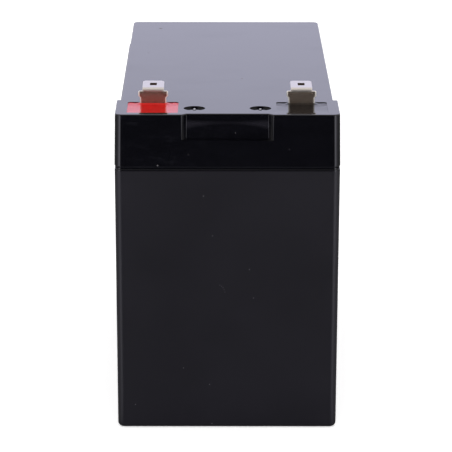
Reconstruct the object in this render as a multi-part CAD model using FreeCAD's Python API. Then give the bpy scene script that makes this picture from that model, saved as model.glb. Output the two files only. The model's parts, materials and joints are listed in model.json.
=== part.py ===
import FreeCAD, Part
import math
import os
from FreeCAD import Vector

# A sealed 12.8 V lithium iron phosphate battery in the small standard block case.
# Millimetres. X is the width, Y the length, Z is up, and the origin is the middle of
# the underside. The terminal end faces -Y. The case is sized round the cells it holds.

# Cells, two across and four along, standing
cell_diameter = 26.2
can_height = 64.5
cap_height = 0.8
cap_diameter = 10.0
cell_gap = 1.4
crimp_depth = 0.8
crimp_drop = 3.2
crimp_half = 1.0
can_edge = 0.7

# Cell brackets
bracket_wall = 1.6
bracket_plate = 1.2
socket_depth = 5.0
socket_clearance = 0.15
window_diameter = 17.0
lead_hole = 2.4

# Nickel strips
strip_thickness = 0.3
strip_overhang = 6.0
dish_top = 8.0
dish_floor = 6.0
ear_width = 5.0
ear_inset = 1.8

# Foam and insulation
pad_thickness = 2.0
pad_clearance = 0.5
pad_corner = 0.8
block_clearance = 0.3
block_drop = 4.0
insulation_thickness = 0.8
insulation_margin = 2.5
foam_depth = 6.5

# Case
wall = 2.5
side_room = 1.0
end_room = 16.4
seam_room = 5.6
case_flare = 0.45
corner_radius = 2.0
inner_radius = 0.6
foot_radius = 1.3
rib_width = 1.6
rib_clearance = 0.2
base_gate_diameter = 8.0
base_gate_depth = 0.5

# Seam between case and lid
seam_notch = 0.25
seam_lip = 0.5
seam_step = 0.05
tongue_width = 0.9
tongue_height = 1.5
tongue_radius = 0.3
groove_clearance = 0.1

# Lid
skirt_height = 8.1
deck_height = 7.5
lid_wall = 2.4
lid_lean = 0.21
ledge = 1.34
block_back = 3.04
block_side = 0.95
edge_round = 0.3

# Terminal pockets
pocket_width = 14.7
pocket_length = 14.8
pocket_inset = 3.35
pocket_setback = 2.75
pocket_depth = 7.0
pocket_floor = 1.8
pocket_wall = 1.6
pocket_corner = 0.8
resin_drop = 0.35
resin_dish = 0.15
resin_rim = 1.2
meniscus_rise = 0.35
meniscus_spread = 0.9
meniscus_lip = 0.1
meniscus_radius = 0.4

# Gate wells in the lid
gate_spacing = 19.05
gate_setback = 8.8
gate_diameter = 6.2
gate_depth = 0.55
gate_nub_diameter = 0.9
gate_nub_height = 0.42

# Terminal tabs
tab_thickness = 0.8
tab_back_gap = 0.5
plate_width = 7.7
plate_rise = 1.5
ear_span = 8.7
ear_height = 1.85
ear_round = 0.45
blade_width = 6.3
blade_length = 8.1
blade_tilt = 2.5
blade_corner = 0.8
bend_inner = 0.15
hole_width = 2.0
hole_length = 2.8
hole_setback = 3.7
stem_width = 5.0
stem_clearance = 0.1

# Protection board and its parts
tape_thickness = 1.0
tape_inset = 6.0
board_thickness = 1.6
board_overhang = 1.2
board_length = 60.0
board_shift = 2.0
board_corner = 1.0
transistor_size = 6.5
transistor_height = 2.3
transistor_tab = 1.2
transistor_leg = 1.6
transistor_gap = 3.0
leg_width = 0.8
leg_height = 0.6
shunt_length = 6.3
shunt_width = 3.2
shunt_height = 0.7
shunt_gap = 1.2
chip_length = 10.0
chip_width = 4.0
chip_height = 1.7
chip_leg = 1.0
chip_leg_width = 0.4
chip_leg_height = 0.3
chip_legs = 8
board_margin = 4.0
socket_length = 15.0
socket_width = 7.0
socket_height = 6.0
socket_wall = 0.8
plug_reach = 1.8
plug_clearance = 0.1
sense_pitch = 2.5

# Leads
lead_diameter = 2.8
lead_bend = 5.0
bend_share = 0.45
lead_aside = 5.5
lead_clearance = 0.8
lead_margin = 0.6
sense_diameter = 1.2
sense_bend = 2.0
lane_step = 2.3

# Plan of the cells
pitch = cell_diameter + cell_gap
rows = (-pitch / 2, pitch / 2)
columns = tuple((i - 1.5) * pitch for i in range(4))
pack_width = cell_diameter + pitch + 2 * bracket_wall
pack_length = cell_diameter + 3 * pitch + 2 * bracket_wall

# Heights, from the underside up
floor_top = wall
pad_top = floor_top + pad_thickness
lower_plate = pad_top + strip_thickness
can_bottom = lower_plate + bracket_plate
can_top = can_bottom + can_height
upper_plate = can_top + bracket_plate
strip_top = upper_plate + strip_thickness
insulation_top = strip_top + insulation_thickness
seam_height = insulation_top + seam_room
ledge_height = seam_height + skirt_height
lid_top = ledge_height + deck_height
lid_ceiling = lid_top - lid_wall

# Half sizes of the case and the lid
base_x = pack_width / 2 + side_room + wall
base_y = pack_length / 2 + end_room + wall
rim_x = base_x + case_flare
rim_y = base_y + case_flare
lid_x = rim_x + seam_step
lid_y = rim_y + seam_step

# Terminal places
lid_front = -lid_y + lid_lean
pocket_x = lid_x - lid_lean - pocket_inset - pocket_width / 2
pocket_front = lid_front + pocket_setback
pocket_back = pocket_front + pocket_length
pocket_bottom = lid_top - pocket_depth
tab_back = pocket_back - tab_back_gap
tab_front = tab_back - tab_thickness
stem_end = pocket_bottom - pocket_floor - lead_diameter - 2 * lead_margin
block_edge = pocket_x - pocket_width / 2 - block_side
block_step = pocket_back + block_back

# Board and lead places
board_width = 2 * (rows[1] + strip_overhang + board_overhang)
tape_top = insulation_top + tape_thickness
board_top = tape_top + board_thickness
lead_height = stem_end + lead_margin + lead_diameter / 2


def outline(half_x, half_y, radius, z):
    """A closed rectangle with round corners, level at height z."""
    points = []
    for sx, sy in ((1, 1), (-1, 1), (-1, -1), (1, -1)):
        centre = Vector(sx * (half_x - radius), sy * (half_y - radius), z)
        middle = math.atan2(sy, sx)
        angles = (middle - math.pi / 4, middle, middle + math.pi / 4)
        arc = [centre + Vector(math.cos(a), math.sin(a), 0) * radius for a in angles]
        points.append(arc)
    edges = []
    for i, arc in enumerate(points):
        edges.append(Part.Arc(*arc).toShape())
        edges.append(Part.LineSegment(arc[2], points[(i + 1) % 4][0]).toShape())
    return Part.Wire(edges)


def tiers(*sections):
    """A solid with straight walls through level outlines, each (half_x, half_y, radius, z)."""
    return Part.makeLoft([outline(*section) for section in sections], True, True)


def slab(half_x, half_y, radius, z0, z1):
    """An upright block with round corners."""
    return Part.Face(outline(half_x, half_y, radius, z0)).extrude(Vector(0, 0, z1 - z0))


def block(x0, x1, y0, y1, z0, z1):
    """A plain block between two corners."""
    return Part.makeBox(x1 - x0, y1 - y0, z1 - z0, Vector(x0, y0, z0))


def disc(x, y, z0, z1, diameter):
    """An upright round bar."""
    return Part.makeCylinder(diameter / 2, z1 - z0, Vector(x, y, z0))


def revolved(profile, x, y, z):
    """A profile of (radius, height) points turned about an upright axis through x, y."""
    points = [Vector(x + r, y, z + h) for r, h in profile]
    face = Part.Face(Part.makePolygon(points + points[:1]))
    return face.revolve(Vector(x, y, 0), Vector(0, 0, 1), 360)


def tube(points, diameter, bend):
    """A round lead: straight runs joined by tangent arcs of the given radius or less."""
    points = [Vector(*p) for p in points]
    edges = []
    start = points[0]
    for before, corner, after in zip(points, points[1:], points[2:]):
        into = (corner - before).normalize()
        out = (after - corner).normalize()
        turn = into.getAngle(out)
        room = bend_share * min((corner - before).Length, (after - corner).Length)
        radius = min(bend, room / math.tan(turn / 2))
        reach = radius * math.tan(turn / 2)
        first = corner - into * reach
        last = corner + out * reach
        inward = (out - into).normalize()
        middle = corner + inward * (radius / math.cos(turn / 2) - radius)
        edges.append(Part.LineSegment(start, first).toShape())
        edges.append(Part.Arc(first, middle, last).toShape())
        start = last
    edges.append(Part.LineSegment(start, points[-1]).toShape())
    path = Part.Wire(edges)
    along = (points[1] - points[0]).normalize()
    ring = Part.Wire(Part.makeCircle(diameter / 2, points[0], along))
    return path.makePipeShell([ring], True, True)


def mirrored_x(shape):
    """The same shape on the other side of the middle plane."""
    return shape.mirror(Vector(0, 0, 0), Vector(1, 0, 0))


def make_case():
    """The open box, with its rim groove, inner ribs and the gate mark underneath."""
    shoulder = seam_height - seam_lip
    outer = tiers((base_x, base_y, corner_radius, 0), (rim_x, rim_y, corner_radius, shoulder))
    foot = [e for e in outer.Edges if max(v.Z for v in e.Vertexes) < 0.001]
    neck = slab(rim_x - seam_notch, rim_y - seam_notch, corner_radius - seam_notch, shoulder, seam_height)
    outer = outer.makeFillet(foot_radius, foot).fuse(neck)
    cavity = tiers((base_x - wall, base_y - wall, inner_radius, floor_top),
                   (rim_x - wall, rim_y - wall, inner_radius, seam_height))
    ribs = []
    rib_face = pack_width / 2 + rib_clearance
    for y in (columns[0], (columns[1] + columns[2]) / 2, columns[3]):
        rib = block(rib_face, base_x - wall / 2, y - rib_width / 2, y + rib_width / 2,
                    wall / 2, can_top)
        ribs += [rib, mirrored_x(rib)]
    case = outer.cut(cavity).fuse(ribs)
    half_groove = tongue_width / 2 + groove_clearance
    groove = ring(half_groove, seam_height - tongue_height - 2 * groove_clearance, seam_height)
    gate = disc(0, 0, 0, base_gate_depth, base_gate_diameter)
    return case.cut([groove, gate]).removeSplitter()


def ring(half_width, z0, z1):
    """The upright band that runs round the middle of the rim."""
    far = wall / 2 - half_width
    near = wall / 2 + half_width
    outer = slab(rim_x - far, rim_y - far, corner_radius - far, z0, z1)
    inner = slab(rim_x - near, rim_y - near, max(corner_radius - near, tongue_radius), z0, z1)
    return outer.cut(inner)


def lid_block():
    """The region of one full-size corner block, with its slanted inner end, in plan."""
    far = 2 * ledge
    reach = lid_y + far
    inner = block_edge - ledge - 2 * far
    corners = [Vector(lid_x + far, -reach, ledge_height),
               Vector(block_edge + far, -reach, ledge_height),
               Vector(inner, -lid_y + lid_lean + block_edge - inner, ledge_height),
               Vector(inner, block_step, ledge_height),
               Vector(lid_x + far, block_step, ledge_height)]
    plan = Part.Face(Part.makePolygon(corners + corners[:1]))
    return plan.extrude(Vector(0, 0, deck_height))


def lid_body():
    """The outer form of the lid: skirt, ledge, deck and the two corner blocks."""
    lean_at_ledge = lid_lean * skirt_height / (skirt_height + deck_height)
    outer = tiers((lid_x - seam_notch, lid_y - seam_notch, corner_radius - seam_notch, seam_height),
                  (lid_x, lid_y, corner_radius, seam_height + seam_lip),
                  (lid_x - lid_lean, lid_y - lid_lean, corner_radius, lid_top))
    low = lean_at_ledge + ledge
    high = lid_lean + ledge
    deck = tiers((lid_x - low, lid_y - low, corner_radius, ledge_height),
                 (lid_x - high, lid_y - high, corner_radius, lid_top))
    skirt = block(-2 * lid_x, 2 * lid_x, -2 * lid_y, 2 * lid_y, 0, ledge_height)
    right = lid_block()
    keep = deck.fuse([right, mirrored_x(right), skirt])
    body = outer.common(keep).removeSplitter()
    body = body.makeFillet(edge_round, block_edges(body))
    rim = [e for e in body.Edges if min(v.Z for v in e.Vertexes) > lid_top - 0.001]
    return body.makeFillet(edge_round, rim)


def block_edges(body):
    """The upright edges where the corner blocks start and end."""
    found = []
    for edge in body.Edges:
        low, high = sorted(v.Z for v in (edge.Vertexes[0], edge.Vertexes[-1]))
        centre = edge.CenterOfMass
        upright = abs(low - ledge_height) < 0.01 and abs(high - lid_top) < 0.01
        at_recess = abs(centre.x) < block_edge + ledge and centre.y < -lid_y + 2 * ledge
        at_step = abs(centre.y - block_step) < ledge
        if upright and (at_recess or at_step):
            found.append(edge)
    return found


def pocket(grow, z0, z1):
    """The plan of the right terminal pocket, grown all round, between two heights."""
    middle = (pocket_front + pocket_back) / 2
    radius = pocket_corner + max(grow, 0)
    shape = slab(pocket_width / 2 + grow, pocket_length / 2 + grow, radius, z0, z1)
    shape.translate(Vector(pocket_x, middle, 0))
    return shape


def lid_hollow():
    """The space under the lid, which leaves the boxes round the two pockets."""
    skirt_x = lid_x - lid_wall
    skirt_y = lid_y - lid_wall
    lower = slab(skirt_x, skirt_y, inner_radius, seam_height, ledge_height - lid_wall)
    upper = slab(skirt_x - ledge, skirt_y - ledge, inner_radius, seam_height, lid_ceiling)
    box = pocket(pocket_wall, pocket_bottom - pocket_floor, lid_top)
    return lower.fuse(upper).cut([box, mirrored_x(box)])


def gate_well(x):
    """A round well with the small nub that the moulding gate left."""
    y = lid_front + gate_setback
    well = disc(x, y, lid_top - gate_depth, lid_top, gate_diameter)
    nub = Part.makeCone(gate_nub_diameter / 2, gate_nub_diameter / 3, gate_nub_height,
                        Vector(x, y, lid_top - gate_depth))
    return well.cut(nub)


def make_lid():
    """The stepped lid with its pockets, gate wells, hollow underside and tongue."""
    hole = pocket(0, pocket_bottom, lid_top)
    half = stem_width / 2 + stem_clearance
    slot = block(pocket_x - half, pocket_x + half, tab_front - stem_clearance, tab_back + stem_clearance,
                 pocket_bottom - pocket_floor, pocket_bottom)
    wells = [gate_well(-gate_spacing / 2), gate_well(gate_spacing / 2)]
    cuts = [lid_hollow(), hole, mirrored_x(hole), slot, mirrored_x(slot)] + wells
    tongue = ring(tongue_width / 2, seam_height - tongue_height, seam_height)
    return lid_body().cut(cuts).fuse(tongue).removeSplitter()


def tab_plate():
    """The upright part of the right tab: stem, body and the two ears, seen from the front."""
    neck = lid_top + plate_rise
    ear_foot = neck + (ear_span - plate_width) / 2
    top = neck + ear_height + ear_round / 2
    half = [(stem_width / 2, stem_end), (stem_width / 2, pocket_bottom), (plate_width / 2, pocket_bottom),
            (plate_width / 2, neck), (ear_span / 2, ear_foot), (ear_span / 2, top)]
    outer = half + [(-x, z) for x, z in reversed(half)]
    points = [Vector(pocket_x + x, tab_front, z) for x, z in outer]
    plate = Part.Face(Part.makePolygon(points + points[:1])).extrude(Vector(0, tab_thickness, 0))
    ears = [e for e in plate.Edges
            if abs(e.Length - tab_thickness) < 0.001 and e.CenterOfMass.z > ear_foot + ear_round]
    return plate.makeFillet(ear_round, ears), top


def make_tab():
    """The right push-on tab: upright plate, bend and the nearly level blade with its hole."""
    plate, top = tab_plate()
    axis = Vector(pocket_x, tab_back + bend_inner, top)
    strip = Part.makePlane(blade_width, tab_thickness, Vector(pocket_x - blade_width / 2, tab_front, top))
    bend = strip.revolve(axis, Vector(-1, 0, 0), 90 - blade_tilt)
    half = blade_width / 2
    corner = blade_length - blade_corner
    rim = [(-half, 0), (half, 0), (half, corner), (half - blade_corner, blade_length),
           (blade_corner - half, blade_length), (-half, corner)]
    points = [axis + Vector(x, y, bend_inner) for x, y in rim]
    blade = Part.Face(Part.makePolygon(points + points[:1])).extrude(Vector(0, 0, tab_thickness))
    hole = block(-hole_width / 2, hole_width / 2, hole_setback - hole_length / 2,
                 hole_setback + hole_length / 2, bend_inner, bend_inner + tab_thickness)
    hole.translate(axis)
    blade = blade.cut(hole)
    blade.rotate(axis, Vector(1, 0, 0), blade_tilt)
    return plate.fuse([bend, blade]).removeSplitter()


def make_resin(tab):
    """The resin in the right pocket: dished a little, and drawn up round the tab."""
    level = lid_top - resin_drop
    filled = pocket(0, pocket_bottom, level)
    middle = (pocket_front + pocket_back) / 2
    rim = (pocket_width / 2, pocket_length / 2, pocket_corner)
    dish = tiers((rim[0] - resin_rim, rim[1] - resin_rim, rim[2], level - resin_dish), (*rim, level))
    dish.translate(Vector(pocket_x, middle, 0))
    lip_x = plate_width / 2 + meniscus_lip
    lip_y = tab_thickness / 2 + meniscus_lip
    low = level - resin_dish
    foot = (lip_x + meniscus_spread, lip_y + meniscus_spread, meniscus_radius, low - meniscus_rise / 2)
    skirt = tiers(foot, (lip_x, lip_y, meniscus_lip, low + meniscus_rise))
    skirt.translate(Vector(pocket_x, (tab_front + tab_back) / 2, 0))
    skirt = skirt.common(pocket(0, pocket_bottom, lid_top))
    return filled.cut(dish).fuse(skirt).cut(tab).removeSplitter()


def make_cell(x, y, cap_up):
    """One cylindrical cell: can, crimp and positive cap."""
    radius = cell_diameter / 2
    cap = cap_diameter / 2
    crimp = can_height - crimp_drop
    profile = [(0, 0), (radius - can_edge, 0), (radius, can_edge), (radius, crimp - crimp_half),
               (radius - crimp_depth, crimp), (radius, crimp + crimp_half), (radius, can_height - can_edge),
               (radius - can_edge, can_height), (cap, can_height), (cap, can_height + cap_height),
               (0, can_height + cap_height)]
    if not cap_up:
        profile = [(r, can_height - h) for r, h in profile]
    return revolved(profile, x, y, can_bottom)


def make_bracket():
    """The upper cell bracket. Its rim stands as high as the strips that lie inside it."""
    bottom = can_top - socket_depth
    half_x = pack_width / 2
    half_y = pack_length / 2
    body = slab(half_x, half_y, corner_radius, bottom, strip_top)
    tray = slab(half_x - bracket_wall, half_y - bracket_wall, corner_radius, upper_plate, strip_top)
    cuts = [tray]
    for x in rows:
        for y in columns:
            cuts.append(disc(x, y, bottom, can_top, cell_diameter + 2 * socket_clearance))
            cuts.append(disc(x, y, can_top, upper_plate, window_diameter))
    for y in valleys():
        cuts.append(disc(ear_x(), y, bottom, upper_plate, lead_hole))
        cuts.append(disc(-ear_x(), y, bottom, upper_plate, lead_hole))
    return body.cut(cuts).removeSplitter()


def valleys():
    """The places along the pack between the first and the last two columns of cells."""
    return ((columns[0] + columns[1]) / 2, (columns[2] + columns[3]) / 2)


def ear_x():
    """How far from the middle the sense leads go down."""
    return -(pack_width / 2 - bracket_wall - ear_inset)


def turned_over(shape):
    """The same shape at the other end of the cans."""
    middle = (can_bottom + can_top) / 2
    return shape.mirror(Vector(0, 0, middle), Vector(0, 0, 1))


def make_strip(group, caps):
    """A top strip over some columns, dished to meet caps or flat can ends."""
    first = columns[group[0]] - strip_overhang
    last = columns[group[-1]] + strip_overhang
    side = rows[1] + strip_overhang
    middle = (first + last) / 2
    sheet = block(-side, side, first, last, upper_plate, strip_top)
    ear = block(ear_x() - ear_inset / 2, -side, middle - ear_width / 2, middle + ear_width / 2,
                upper_plate, strip_top)
    holes = []
    dishes = []
    for index, cap in zip(group, caps):
        depth = bracket_plate - (cap_height if cap else 0)
        for x in rows:
            holes.append(disc(x, columns[index], upper_plate, strip_top, dish_top))
            dishes.append(dish_cup(x, columns[index], depth))
    return sheet.fuse(ear).cut(holes).fuse(dishes).removeSplitter()


def dish_cup(x, y, depth):
    """The round pad pressed down from a strip on to a cell."""
    top = dish_top / 2
    low = dish_floor / 2
    lip = strip_thickness
    profile = [(0, -depth), (low, -depth), (top, 0), (top, lip), (top - lip, lip),
               (low - lip, lip - depth), (0, lip - depth)]
    return revolved(profile, x, y, upper_plate)


def make_floor_pad():
    """The foam sheet on the floor of the case."""
    return slab(pack_width / 2, base_y - wall - pad_clearance, pad_corner, floor_top, pad_top)


def make_end_block():
    """The foam block between the pack and the front wall."""
    back = -pack_length / 2
    front = back - end_room + block_clearance
    half = (back - front) / 2
    shape = slab(pack_width / 2 - pad_clearance, half, corner_radius, pad_top, can_top - block_drop)
    shape.translate(Vector(0, front + half, 0))
    return shape


def make_foam(y):
    """A foam pillar between the insulating board and the ceiling of the lid."""
    shape = slab(block_edge, foam_depth / 2, pad_corner, insulation_top, lid_ceiling)
    shape.translate(Vector(0, y, 0))
    return shape


def lead_starts():
    """Where the thick leads leave the strips: on the middle line of the end columns."""
    return Vector(-lead_aside, columns[0], strip_top), Vector(lead_aside, columns[3], strip_top)


def make_insulation():
    """The fibre board on the strips, with round holes for the two leads."""
    half_y = pack_length / 2 - insulation_margin
    sheet = slab(rows[1] + strip_overhang + insulation_margin, half_y, corner_radius,
                 strip_top, insulation_top)
    holes = [disc(p.x, p.y, strip_top, insulation_top, lead_diameter + 2 * lead_clearance)
             for p in lead_starts()]
    return sheet.cut(holes)


def make_tape():
    """The foam tape that holds the protection board."""
    half_x = board_width / 2 - tape_inset
    half_y = board_length / 2 - board_margin / 2
    return block(-half_x, half_x, board_shift - half_y, board_shift + half_y, insulation_top, tape_top)


def make_board():
    """The protection board."""
    shape = slab(board_width / 2, board_length / 2, board_corner, tape_top, board_top)
    shape.translate(Vector(0, board_shift, 0))
    return shape


def make_transistor(x, y):
    """One flat power transistor: moulded body, metal tab and two legs."""
    half = transistor_size / 2
    leg_x = half - leg_width
    body = block(x - half, x + half, y - half, y + half, board_top, board_top + transistor_height)
    tab = block(x - leg_x, x + leg_x, y + half, y + half + transistor_tab,
                board_top, board_top + leg_height)
    legs = [block(x + side - leg_width / 2, x + side + leg_width / 2, y - half - transistor_leg, y - half,
                  board_top, board_top + leg_height) for side in (-leg_x, leg_x)]
    return body.fuse([tab] + legs).removeSplitter()


def make_transistors():
    """Two rows of three transistors on the right half of the board."""
    step_x = transistor_size + transistor_gap
    step_y = step_x + transistor_leg + transistor_tab
    right = board_width / 2 - board_margin - transistor_size / 2
    shapes = [make_transistor(right - column * step_x, board_shift + row * step_y)
              for column in (0, 1) for row in (-1, 0, 1)]
    return Part.makeCompound(shapes)


def make_shunts():
    """Three flat resistors side by side at the front left of the board."""
    y = board_shift - board_length / 2 + board_margin
    shapes = []
    for i in range(3):
        x = -board_width / 2 + board_margin + i * (shunt_width + shunt_gap)
        shapes.append(block(x, x + shunt_width, y, y + shunt_length, board_top, board_top + shunt_height))
    return Part.makeCompound(shapes)


def make_chip():
    """The control chip with two rows of legs, at the back left of the board."""
    x = -board_width / 2 + board_margin + chip_leg + chip_width / 2
    y = board_shift + board_length / 2 - board_margin - chip_length / 2
    half = chip_width / 2
    body = block(x - half, x + half, y - chip_length / 2, y + chip_length / 2,
                 board_top, board_top + chip_height)
    reach = half + chip_leg
    legs = []
    for i in range(chip_legs):
        place = y + chip_length * ((i + 0.5) / chip_legs - 0.5)
        legs.append(block(x - reach, x + reach, place - chip_leg_width / 2, place + chip_leg_width / 2,
                          board_top, board_top + chip_leg_height))
    return body.fuse(legs).removeSplitter()


def socket_front():
    """The side of the sense socket that its plug goes into."""
    return -board_width / 2 + board_margin


def make_socket():
    """The sense socket, open to the side."""
    x0 = socket_front()
    half = socket_length / 2
    body = block(x0, x0 + socket_width, board_shift - half, board_shift + half,
                 board_top, board_top + socket_height)
    return body.cut(plug_space(0))


def plug_space(clearance):
    """The inside of the socket, less a clearance all round."""
    x0 = socket_front()
    half = socket_length / 2 - socket_wall - clearance
    return block(x0, x0 + socket_width - socket_wall, board_shift - half, board_shift + half,
                 board_top + socket_wall + clearance, board_top + socket_height - socket_wall - clearance)


def make_plug():
    """The sense plug, pushed home, with its back standing out of the socket."""
    inside = plug_space(plug_clearance)
    box = inside.BoundBox
    back = block(box.XMin - plug_reach, box.XMin, box.YMin, box.YMax, box.ZMin, box.ZMax)
    return inside.fuse(back).removeSplitter()


def make_positive_lead():
    """From the first strip up and across to the stem of the left tab."""
    start = lead_starts()[0]
    return tube([start, (start.x, start.y, lead_height), (-pocket_x, start.y, lead_height),
                 (-pocket_x, tab_back, lead_height)], lead_diameter, lead_bend)


def make_negative_lead():
    """From the front edge of the board to the stem of the right tab."""
    x = board_width / 2 - board_margin - transistor_size / 2
    y = board_shift - board_length / 2 + board_margin
    return tube([(x, y, board_top), (x, y, lead_height),
                 (pocket_x, (y + tab_back) / 2, lead_height), (pocket_x, tab_back, lead_height)],
                lead_diameter, lead_bend)


def make_pack_lead():
    """From the last strip over to the back edge of the board."""
    start = lead_starts()[1]
    landing = board_shift + board_length / 2 - board_margin
    height = board_top + 2 * lead_diameter
    return tube([start, (start.x, start.y, height), (start.x, landing, height),
                 (start.x, landing, board_top)], lead_diameter, lead_bend)


def make_sense_lead(index):
    """One of five thin leads from the plug, along a lane beside the board, down to its strip."""
    out = socket_front() - plug_reach
    height = board_top + socket_height / 2
    pin = board_shift + (index - 2) * sense_pitch
    places = (columns[0], valleys()[0], (columns[1] + columns[2]) / 2, valleys()[1], columns[3])
    to_bottom = index in (1, 3)
    target = lower_plate if to_bottom else strip_top
    place = places[index]
    x = ear_x()
    if index == 2:
        points = [(out, pin, height), (x, pin, height), (x, pin, target)]
    elif to_bottom:
        points = [(out, pin, height), (x, pin, height), (x, place, height), (x, place, target)]
    else:
        lane = x + lane_step
        points = [(out, pin, height), (lane, pin, height), (lane, place, height),
                  (x, place, height - sense_diameter), (x, place, target)]
    return tube(points, sense_diameter, sense_bend)


def build():
    """All pieces by name."""
    tab = make_tab()
    resin = make_resin(tab)
    bracket = make_bracket()
    end_block = make_end_block()
    foam_y = pack_length / 2 - insulation_margin - foam_depth / 2
    parts = {
        "case": make_case(),
        "lid": make_lid(),
        "positive_tab": mirrored_x(tab),
        "negative_tab": tab,
        "positive_resin": mirrored_x(resin),
        "negative_resin": resin,
        "upper_bracket": bracket,
        "lower_bracket": turned_over(bracket),
        "top_strip_positive": make_strip((0,), (True,)),
        "top_strip_middle": make_strip((1, 2), (False, True)),
        "top_strip_negative": make_strip((3,), (False,)),
        "bottom_strip_front": turned_over(make_strip((0, 1), (False, True))),
        "bottom_strip_rear": turned_over(make_strip((2, 3), (False, True))),
        "insulating_board": make_insulation(),
        "board_tape": make_tape(),
        "protection_board": make_board(),
        "board_transistors": make_transistors(),
        "board_shunts": make_shunts(),
        "board_chip": make_chip(),
        "sense_socket": make_socket(),
        "sense_plug": make_plug(),
        "positive_lead": make_positive_lead(),
        "negative_lead": make_negative_lead(),
        "pack_lead": make_pack_lead(),
        "floor_pad": make_floor_pad(),
        "front_block": end_block,
        "rear_block": end_block.mirror(Vector(0, 0, 0), Vector(0, 1, 0)),
        "front_foam": make_foam(-foam_y),
        "rear_foam": make_foam(foam_y),
    }
    for number, y in enumerate(columns, 1):
        cap_up = number % 2 == 1
        parts[f"cell_{number}_left"] = make_cell(rows[0], y, cap_up)
        parts[f"cell_{number}_right"] = make_cell(rows[1], y, cap_up)
    for index in range(5):
        parts[f"sense_lead_{index + 1}"] = make_sense_lead(index)
    return parts


os.makedirs("parts", exist_ok=True)
for name, shape in build().items():
    shape.exportStep(f"parts/{name}.step")
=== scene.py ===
import json
import math

import bmesh
import bpy
from mathutils import Matrix, Vector


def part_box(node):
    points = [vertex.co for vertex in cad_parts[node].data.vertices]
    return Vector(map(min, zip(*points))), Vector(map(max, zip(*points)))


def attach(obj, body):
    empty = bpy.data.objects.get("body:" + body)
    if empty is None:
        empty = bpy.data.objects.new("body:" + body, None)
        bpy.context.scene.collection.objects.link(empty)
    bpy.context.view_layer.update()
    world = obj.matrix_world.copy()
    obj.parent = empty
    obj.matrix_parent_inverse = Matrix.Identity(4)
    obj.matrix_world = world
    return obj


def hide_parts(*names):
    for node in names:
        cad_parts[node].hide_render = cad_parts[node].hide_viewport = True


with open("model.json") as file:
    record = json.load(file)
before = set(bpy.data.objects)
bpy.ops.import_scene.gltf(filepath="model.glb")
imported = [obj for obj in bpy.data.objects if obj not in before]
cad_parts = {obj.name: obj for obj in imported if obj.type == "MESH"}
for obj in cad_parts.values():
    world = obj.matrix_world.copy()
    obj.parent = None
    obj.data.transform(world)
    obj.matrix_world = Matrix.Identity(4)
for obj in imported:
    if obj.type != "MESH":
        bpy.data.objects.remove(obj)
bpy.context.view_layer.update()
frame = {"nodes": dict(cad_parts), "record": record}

bl_info = {
    "name": "Sealed block battery",
    "version": (1, 0, 0),
    "blender": (4, 5, 0),
    "location": "View3D > Sidebar > Battery",
    "description": "Models and dresses a sealed lithium iron phosphate block battery",
    "category": "Object",
}

MM = 0.001
NEAR = 0.01 * MM  # points this close lie in the same place
MERGE = 0.002 * MM  # points this close become one
PLAY = 0.1 * MM  # room round the tongue and the stems
_, CASE_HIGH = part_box("case")
LID_LOW, LID_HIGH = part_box("lid")
RESIN_LOW, RESIN_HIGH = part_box("negative_resin")
TAB_LOW, TAB_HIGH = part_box("negative_tab")


def length(name, description, millimetres):
    """A length property, given in millimetres and kept in metres."""
    return bpy.props.FloatProperty(name=name, description=description, default=millimetres * MM,
                                   min=0, precision=5, unit="LENGTH")


def colour(name, description, code):
    """A colour property, given as an sRGB hex value."""
    return bpy.props.FloatVectorProperty(name=name, description=description, size=3, min=0, max=1,
                                         default=linear(code)[:3], subtype="COLOR")


def linear(code):
    """An sRGB hex colour as linear red, green, blue and alpha."""
    parts = [int(code[i:i + 2], 16) / 255 for i in (1, 3, 5)]
    return tuple(c / 12.92 if c <= 0.04045 else ((c + 0.055) / 1.055) ** 2.4 for c in parts) + (1,)


def brighter(shade, factor):
    """A colour made lighter or darker."""
    return tuple(min(1, c * factor) for c in shade[:3]) + (1,)


class CaseSizes(bpy.types.PropertyGroup):
    wall: length("Wall", "Thickness of the case wall", 2.5)
    flare: length("Flare", "How far each wall leans out from the base to the rim", 0.45)
    corner: length("Corner radius", "Radius of the upright corners", 2.0)
    inner: length("Inner radius", "Radius of the upright corners inside the case and the lid", 0.6)
    foot: length("Foot radius", "Radius round the underside", 1.3)
    notch: length("Seam notch", "Depth of the groove round the seam", 0.25)
    lip: length("Seam lip", "Height of each half of that groove", 0.5)
    shoulder: length("Shoulder radius", "Radius of the edge of the case under the seam", 0.12)
    groove: length("Groove width", "Width of the groove that takes the tongue of the lid", 1.1)
    groove_depth: length("Groove depth", "Depth of that groove", 1.7)
    rib: length("Rib width", "Width of the ribs that hold the cells", 1.6)
    rib_gap: length("Rib reach", "Distance from the middle plane to the face of the ribs", 28.7)
    rib_pitch: length("Rib spacing", "Distance from one pair of ribs to the next", 41.4)
    rib_top: length("Rib height", "Height of the top of the ribs", 70.5)
    gate: length("Gate mark", "Radius of the round gate mark underneath", 4.0)
    gate_depth: length("Gate mark depth", "Depth of that mark", 0.5)


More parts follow.
